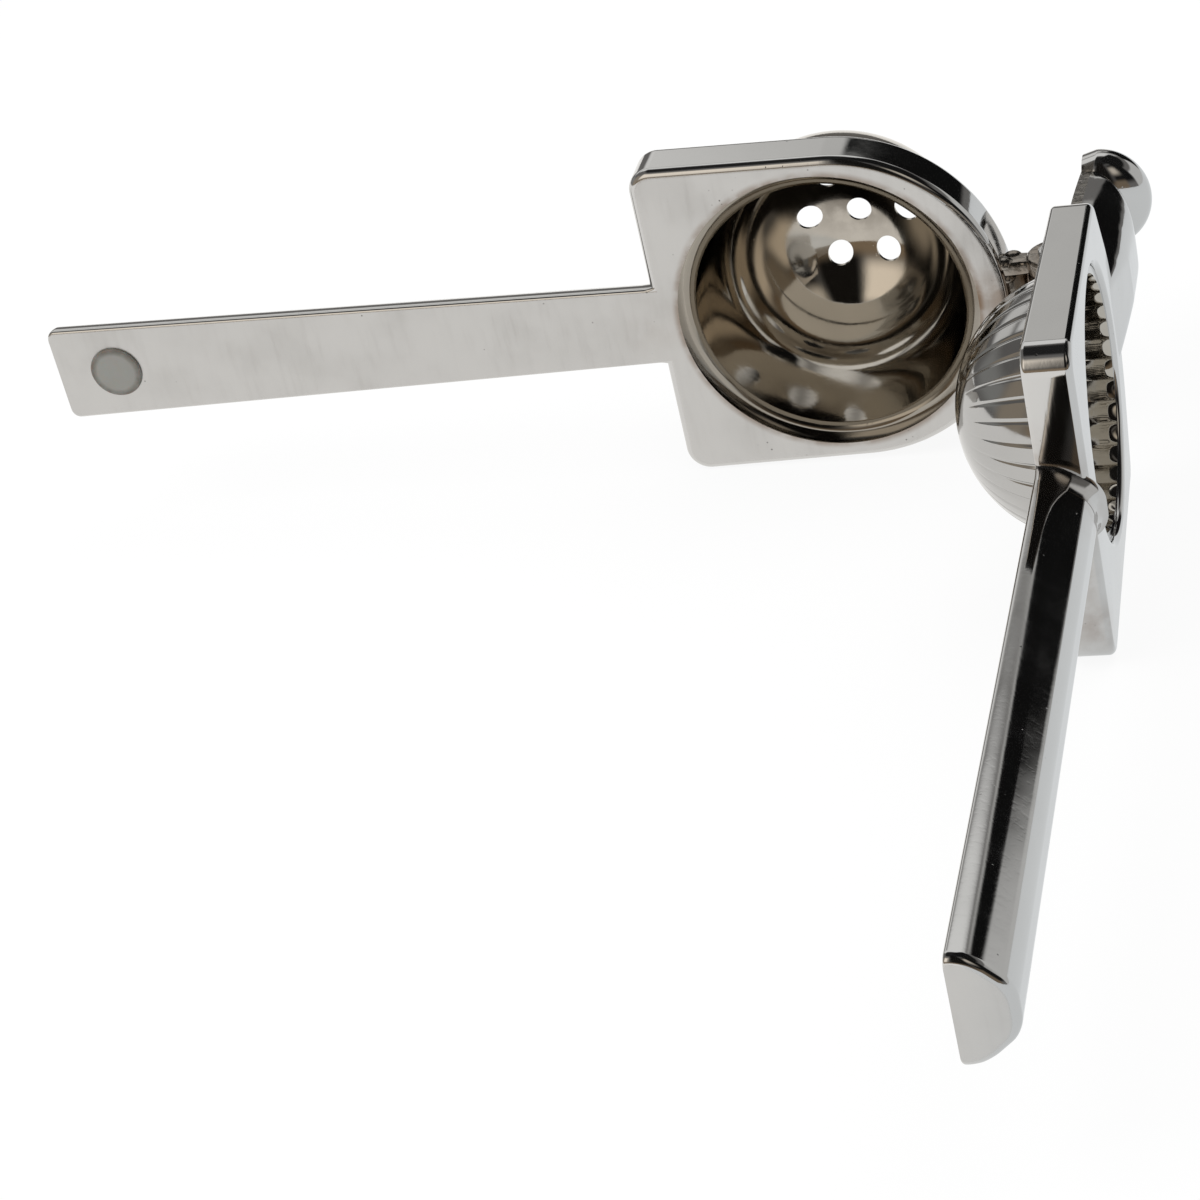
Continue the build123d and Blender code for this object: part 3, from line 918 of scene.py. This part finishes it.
@dataclass
class Plunger(Arm):
    """The arm with the grooved dome: frame plate, dome, handle, hinge tongue and tail hook."""

    datum = Datum.PLUNGER
    body = Body.PLUNGER_ARM
    thickness: float = 9.3
    hinge_thickness: float = 7.9
    round_radius: float = 36.4
    half_width: float = 32.6
    low_half_width: float = 35.0
    waist_half_width: float = 31.6
    side_round: float = 5.2
    side_lead: float = 3.6
    back_round: float = 1.35
    face_round: float = 0.9
    opening_lip: float = 1.1
    dome_reach: float = 47.3
    dome_radius: float = 26.14
    dome_depth: float = 6.4
    dome_wall: float = 1.5
    dome_skirt: float = 0.9
    groove_count: int = 36
    groove_depth: float = 0.42
    groove_half_width: float = 0.50
    groove_start: float = 33.0
    groove_fade: float = 42.0
    ridge_height: float = 0.38
    ridge_half_width: float = 2.1
    ridge_start: float = 68.0
    ridge_fade: float = 14.0
    tongue_half_height: float = 3.7
    tongue_round: float = 0.4
    web_foot: Triple = (7.0, -9.0, 2.2)

    def back_height(self, along: float) -> float:
        """Return the height of the frame's sloping back at a reach."""
        length = self.square_reach - self.bowl_reach + self.round_radius
        taper = (self.thickness - self.hinge_thickness) / length
        return self.thickness - taper * (self.square_reach - along)

    def frame_plate(self) -> None:
        """Build the plate that holds the dome."""
        piece = self.piece("plunger_frame_plate", "plunger_frame", Finish.POLISHED, Finish.SATIN)
        bm = piece.mesh
        piece.disc((self.bowl_reach, 0, 0), self.round_radius, self.thickness)
        lean = (self.half_width - self.waist_half_width) / (self.square_reach - self.bowl_reach)
        shrunk = self.round_radius - self.side_round
        inset = self.waist_half_width - self.side_round - lean * shrunk / 2
        for side in (-1, 1):
            piece.trim((0, side * (inset * self.round_radius / shrunk), 0), (0, side, 0))
        piece.trim((self.bowl_reach, 0, 0), (1, 0, 0))
        along = self.bowl_reach - sqrt(shrunk * shrunk - inset * inset) - self.side_lead
        for side, half_width in ((-1, self.half_width), (1, self.low_half_width)):
            piece.disc((along, side * inset, 0), self.side_round, self.thickness, 128)
            across = half_width - self.corner_radius
            centre = (self.square_reach - self.corner_radius, side * across, 0)
            piece.disc(centre, self.corner_radius, self.thickness, 96)
        piece.wrap()
        for vert in bm.verts:
            if vert.co.z > 1:
                vert.co.z = self.back_height(vert.co.x)
        bm.normal_update()
        back = [e for e in bm.edges if all(v.co.z > 1 for v in e.verts) and is_fold(e)]
        piece.bevel(back, self.back_round, 6)
        piece.soften(self.face_round, 5, 0.0)
        low, high = self.dome_radius - 0.6, self.dome_radius + 0.2
        piece.bore(self.dome_reach, low, high, self.back_height, self.opening_lip)
        piece.close(paint_face)

    def press(self, bm: BMesh) -> None:
        """Sink the pressed grooves into the dome's outside, and their ridges into its inside.

        Args:
            bm: The dome's mesh.
        """
        pitch = tau / self.groove_count
        for vert in bm.verts:
            radial = Vector((vert.co.x - self.dome_reach, vert.co.y))
            rise = self.dome_depth - vert.co.z
            if rise < -0.5 or radial.length < 1.0:
                continue
            polar = degrees(atan2(radial.length, max(rise, 0.0)))
            angle = (atan2(radial.y, radial.x) + tau) % pitch - pitch / 2
            away = abs(angle) * radial.length
            if Vector((radial.x, radial.y, rise)).length > self.dome_radius - 0.4:
                fade = min(1.0, max(0.0, (polar - self.groove_start) / self.groove_fade))
                width = self.groove_half_width * (0.6 + 0.8 * fade)
                sink = self.groove_depth * fade * max(0.0, 1.0 - away / width)
            else:
                fade = min(1.0, max(0.0, (polar - self.ridge_start) / self.ridge_fade))
                swing = min(QUARTER, away / self.ridge_half_width * QUARTER)
                sink = self.ridge_height * fade * cos(swing)
            direction = Vector((radial.x, radial.y, -rise)).normalized()
            vert.co -= direction * sink

    def dome(self) -> None:
        """Build the hollow dome whose pressed grooves fade out towards its crown."""
        finishes = (Finish.PRESSED, Finish.BOWL)
        piece = self.piece("plunger_dome_shell", "plunger_dome", *finishes, crease=60.0)
        bm = piece.mesh
        axis, middle = self.dome_reach, Vector((self.dome_reach, 0, self.dome_depth))
        skirt = self.dome_depth + self.dome_skirt
        crown = bm.verts.new((axis, 0, self.dome_depth - self.dome_radius))
        base = piece.arc(crown, middle, -1, 90, 56)
        edge = piece.line(base, (axis + self.dome_radius, 0, skirt))
        inner_radius = self.dome_radius - self.dome_wall
        inside = piece.line(edge, (axis + inner_radius, 0, skirt))
        start = piece.line(inside, (axis + inner_radius, 0, self.dome_depth))
        piece.arc(start, middle, -1, -90, 40)
        piece.turn(axis, self.groove_count, 20)
        self.press(bm)
        piece.close(lambda f: int(f.normal.dot(f.calc_center_median() - middle) < 0), weighted=False)

    def tongue(self) -> None:
        """Build the middle knuckle with its web to the frame."""
        piece = self.piece("hinge_tongue_knuckle", "hinge_tongue", Finish.WELD, datum=Datum.PIN)
        top = self.tongue_half_height
        piece.disc((0, 0, -top), self.knuckle_radius, 2 * top, 64)
        along, across, radius = self.web_foot
        piece.disc((along, across, -top), radius, 2 * top, 32)
        piece.wrap()
        piece.soften(self.tongue_round, 3, -top, top)
        piece.close()

    def build(self) -> None:
        """Build every piece of the plunger's arm."""
        self.frame_plate()
        self.dome()
        bar = Bar(self.square_reach - 1.0, weld_spread=1.6, weld_reach=5.0)
        self.handle("plunger_handle", Slot.POLISHED, bar)
        self.tongue()
        finishes = (Finish.CAST, Finish.WELD)
        Tail().build(self.piece("tail_hook_casting", "tail_hook", *finishes, datum=Datum.TAIL, crease=50.0))


@dataclass
class Tail:
    """The cast hook beyond the hinge: a half-round bar with a ramp, and a lobe, skinned by height rules."""

    half_width: float = 12.0
    side_height: float = 1.7
    root_reach: float = 18.5
    root_height: float = 9.9
    root_floor: float = 1.9
    hollow_reach: float = 6.5
    hollow_sink: float = 2.5
    crest_height: float = 12.0
    crest_reach: float = 11.6
    crown_rise: float = 1.0
    tip_reach: float = 34.0
    tip_height: float = 1.6
    taper: float = 0.3
    taper_start: float = 6.0
    lobe_half_width: float = 10.9
    lobe_side: float = 3.0
    lobe_height: float = 13.3
    lobe_thickness: float = 9.4
    lobe_lead: float = 4.0
    lobe_squareness: float = 2.2
    edge: float = 0.5
    flat_turn: float = 0.25
    strip_rise: float = 0.6
    strip_start: float = 8.0
    turns: int = 96

    def ramp_height(self, along: float) -> float:
        """Work out the near bar's top.

        Args:
            along: The reach.

        Returns:
            Its height there.
        """
        if along <= 0:
            return self.crest_height + (self.crest_height - self.root_height) * along / self.root_reach
        if along <= self.crest_reach:
            return self.crest_height
        share = min(1.0, (along - self.crest_reach) / (self.tip_reach - self.crest_reach))
        return self.crest_height - (self.crest_height - self.tip_height) * share * share

    def hollow(self, along: float) -> float:
        """Return the height of the bar's inner side, raised over the hinge."""
        round_height = sqrt(max(0.0, self.hollow_reach ** 2 - along * along)) - self.hollow_sink
        return max(self.root_floor if along < 0 else 0.0, round_height)

    def outline(self, turn: float, side: float, crown: float) -> tuple[float, float]:
        """Return across and height on a half-round section, going once round it.

        Args:
            turn: Share of the way round, from 0 to 1.
            side: Height of the straight sides.
            crown: Height of the crown.

        Returns:
            The point across and into the piece.
        """
        if turn < self.flat_turn:
            return (self.half_width * (2 * turn / self.flat_turn - 1), 0.0)
        if turn >= 1:
            return (-self.half_width, side)
        angle = pi * (turn - self.flat_turn) / (1 - self.flat_turn)
        return (self.half_width * cos(angle), side + (crown - side) * sin(angle))

    def bar_point(self, along: float, turn: float) -> Vector:
        """Work out a point of the near bar's surface.

        Args:
            along: The reach.
            turn: Share of the way round its section.

        Returns:
            The point, in the tail's millimetres.
        """
        across, height = self.outline(turn, self.side_height, self.crest_height + self.crown_rise)
        share = (along - self.taper_start) / (self.tip_reach - self.taper_start)
        across *= 1 - self.taper * min(1.0, max(0.0, share)) ** 1.5
        floor = self.hollow(along)
        if turn <= self.flat_turn or turn >= 1.0:
            return Vector((along, across, floor))
        gap = self.ramp_height(along) - height
        height += gap / 2 - sqrt(gap * gap + self.edge * self.edge) / 2
        return Vector((along, across, max(height, floor + 0.05)))

    def lobe_point(self, share: float, turn: float) -> Vector:
        """Return the lobe's surface point.

        Args:
            share: Place along the lobe, from -1 at its front to 1 at its back.
            turn: Share of the way round its section.

        Returns:
            The point, in the tail's millimetres.
        """
        across, height = self.outline(turn, self.lobe_side, self.lobe_height)
        front, back = self.tip_reach - self.lobe_lead, self.tip_reach + self.lobe_thickness
        swing = sin(share * QUARTER)
        along = (front + back) / 2 + swing * (back - front) / 2
        across *= self.lobe_half_width / self.half_width
        keep = (1 - min(1.0, abs(swing)) ** self.lobe_squareness) ** (1 / self.lobe_squareness)
        return Vector((along, across * keep, height * keep))

    def skin(self, rows: int, point: Callable[[float, float], Vector]) -> BMesh:
        """Skin a shape with loops of points.

        Args:
            rows: Loops along it.
            point: Gives the point at a share along, from -0.5 to 0.5, and a share round, from 0 to 1.

        Returns:
            The closed mesh.
        """
        bm = bmesh.new()
        ops.create_grid(bm, x_segments=rows, y_segments=self.turns, size=0.5)
        for vert in bm.verts:
            vert.co = point(vert.co.x, vert.co.y + 0.5)
        ops.remove_doubles(bm, verts=bm.verts, dist=0.002)
        ops.holes_fill(bm, edges=[e for e in bm.edges if e.is_boundary], sides=0)
        return bm

    def build(self, piece: Piece) -> None:
        """Build the hook, with a strip of weld along its lower side.

        Args:
            piece: The hook's empty piece.
        """
        length, strip = self.tip_reach + self.root_reach, self.side_height + self.strip_rise
        bar = self.skin(180, lambda x, turn: self.bar_point(-self.root_reach + (x + 0.5) * length, turn))
        piece.join(bar)
        piece.join(self.skin(60, lambda x, turn: self.lobe_point(2 * x, turn)))

        def paint(face: BMFace) -> int:
            """Return the weld index for the strip."""
            middle = face.calc_center_median()
            beyond = self.strip_start < middle.x < self.tip_reach
            return int(face.normal.y > 0.5 and middle.z < strip and beyond)

        piece.close(paint)


@dataclass(frozen=True)
class Wall:
    """A patch of the studio that polished steel can mirror, by azimuth and elevation in degrees."""

    azimuth: tuple[float, float]
    elevation: tuple[float, float]
    tone: Triple
    soft: float

    def mask(self, g: Graph, azimuth: NodeSocket, elevation: NodeSocket) -> NodeSocket:
        """Mask the patch.

        Args:
            g: The world's graph.
            azimuth: The direction's azimuth.
            elevation: The direction's elevation.

        Returns:
            1 inside the patch, easing to 0 round it.
        """
        sides = [
            g.ramp(value, edge - self.soft, edge + self.soft, start, 1.0 - start)
            for value, edges in ((azimuth, self.azimuth), (elevation, self.elevation))
            for edge, start in zip(edges, (0.0, 1.0))
        ]
        mask = sides[0]
        for side in sides[1:]:
            mask = g.math("MULTIPLY", mask, side)
        return mask


@dataclass
class Studio:
    """The floor, the lamps, the room round them and the camera."""

    centre: Triple = (0.198251, -0.495077, 0.354318)
    right: Triple = (0.957147, 0.204555, -0.205004)
    down: Triple = (-0.055034, -0.566508, -0.822216)
    forward: Triple = (-0.284325, 0.798264, -0.530974)
    lens: float = 98.46
    sensor: float = 36.0
    floor_reach: float = 3.0
    floor_tone: Triple = (0.86, 0.86, 0.86)
    floor_glow: float = 0.90
    floor_turn: tuple[float, float] = (0.085, 0.125)
    floor_warm: Triple = (1.0, 0.985, 0.96)
    floor_cool: Triple = (0.78, 0.805, 0.82)
    below: Triple = (0.80, 0.80, 0.80)
    around: Triple = (0.17, 0.165, 0.16)
    above: Triple = (0.02, 0.02, 0.02)
    fill: Triple = (0.9, 0.9, 0.9)
    fill_strength: float = 0.75
    aim: Triple = (0.0, 0.0, 0.03)
    walls: tuple[Wall, ...] = (
        Wall((-60, 27), (18, 32), (0.62, 0.615, 0.6), 3),
        Wall((-60, -14), (18, 32), (0.84, 0.835, 0.82), 4),
        Wall((-60, 27), (36, 60), (0.9, 0.9, 0.89), 3),
        Wall((36, 100), (-2, 28), (0.62, 0.62, 0.61), 3),
        Wall((14, 128), (40, 84), (0.01, 0.01, 0.01), 4),
        Wall((4, 35.5), (2.5, 28), (0.006, 0.006, 0.006), 1.2),
        Wall((-3, 35.5), (24, 30), (0.006, 0.006, 0.006), 1.5),
        Wall((100, 150), (10, 62), (0.008, 0.008, 0.008), 6),
        Wall((130, 150), (30, 52), (0.62, 0.56, 0.48), 8),
        Wall((-170, -132), (14, 50), (1.15, 1.04, 0.9), 8),
        Wall((-190, -128), (-8, 10), (0.3, 0.23, 0.16), 5),
        Wall((128, 190), (-8, 14), (0.2, 0.155, 0.11), 5),
        Wall((152, 190), (8, 80), (0.01, 0.009, 0.008), 6),
        Wall((-190, -172), (8, 80), (0.01, 0.009, 0.008), 6),
        Wall((-100, -62), (4, 24), (0.3, 0.3, 0.29), 6),
        Wall((-128, -100), (-4, 38), (0.35, 0.3, 0.24), 6),
    )

    def camera(self) -> None:
        """Place the camera at the photograph's angle."""
        data = bpy.data.cameras.new("camera")
        data.lens, data.sensor_width = self.lens, self.sensor
        data.clip_start, data.clip_end = 0.01, 50.0
        obj = place_object("camera", data)
        axes = (Vector(self.right), -Vector(self.down), -Vector(self.forward))
        obj.matrix_world = Matrix.Translation(self.centre) @ Matrix(axes).transposed().to_4x4()
        bpy.context.scene.camera = obj

    def floor(self) -> None:
        """Lay a plain white floor that keeps the object's shadow."""
        bm = bmesh.new()
        ops.create_grid(bm, x_segments=1, y_segments=1, size=self.floor_reach)
        obj = place_object("floor", store(bm, "floor"))
        material, g = new_material("floor_white")
        ray = g.add("LightPath").outputs
        across = g.add("SeparateXYZ", {0: g.add("TexCoord").outputs["Object"]}).outputs[0]
        turn = g.ramp(across, *self.floor_turn)
        mirrored = g.blend(turn, self.floor_warm, self.floor_cool)
        glow = g.add("Emission", {"Color": g.blend(ray["Is Camera Ray"], mirrored, WHITE)})
        bent = g.math("MAXIMUM", ray["Is Glossy Ray"], ray["Is Transmission Ray"])
        seen = g.math("MAXIMUM", ray["Is Camera Ray"], bent)
        matt = g.add("BsdfDiffuse", {"Color": self.floor_tone})
        g.output("Material", g.mix(g.math("MULTIPLY", seen, self.floor_glow), matt, glow))
        obj.data.materials.append(material)

    def room(self) -> None:
        """Paint the room that the steel mirrors, and a white background for the camera."""
        world = bpy.data.worlds.new("room")
        bpy.context.scene.world = world
        world.use_nodes = True
        g = Graph(world.node_tree)
        x, y, z = g.add("SeparateXYZ", {0: g.add("TexCoord").outputs["Generated"]}).outputs
        elevation = g.math("MULTIPLY", g.math("ARCSINE", z), degrees(1.0))
        azimuth = g.math("MULTIPLY", g.math("ARCTAN2", x, y), degrees(1.0))
        tone = g.blend(g.ramp(elevation, -6.0, 0.0), self.below, self.around)
        tone = g.blend(g.ramp(elevation, 60.0, 72.0), tone, self.above)
        for wall in self.walls:
            tone = g.blend(wall.mask(g, azimuth, elevation), tone, wall.tone)
        ray = g.add("LightPath").outputs
        soft = g.add("Background", {0: self.fill, 1: self.fill_strength})
        around = g.mix(ray["Is Glossy Ray"], soft, g.add("Background", {0: tone}))
        white = g.add("Background", {0: WHITE})
        g.output("World", g.mix(ray["Is Camera Ray"], around, white))

    def lamp(self, name: str, place: Triple, size: float, power: float) -> None:
        """Hang a soft square lamp aimed at the object.

        Args:
            name: Its name.
            place: Where it hangs, in metres.
            size: Its side.
            power: Its power in watts.
        """
        data = bpy.data.lights.new(name, "AREA")
        data.size, data.energy = size, power
        obj = place_object(name, data)
        obj.location = place
        obj.rotation_euler = (Vector(self.aim) - Vector(place)).to_track_quat("-Z", "Y").to_euler()
        obj.visible_glossy = False

    def build(self) -> None:
        """Set up the whole studio."""
        self.camera()
        self.floor()
        self.room()
        self.lamp("key_lamp", (-0.5, -0.2, 0.9), 0.8, 6.0)
        self.lamp("top_lamp", (0.4, 0.5, 1.1), 0.9, 5.0)
        bpy.context.scene.view_settings.view_transform = "Standard"


def main() -> None:
    """Build the studio and both arms."""
    logging.basicConfig(level=logging.INFO, format="%(name)s: %(message)s")
    Studio().build()
    for finish in Finish:
        worn(finish)
    Cup().build()
    Plunger().build()


if __name__ == "__main__":
    main()
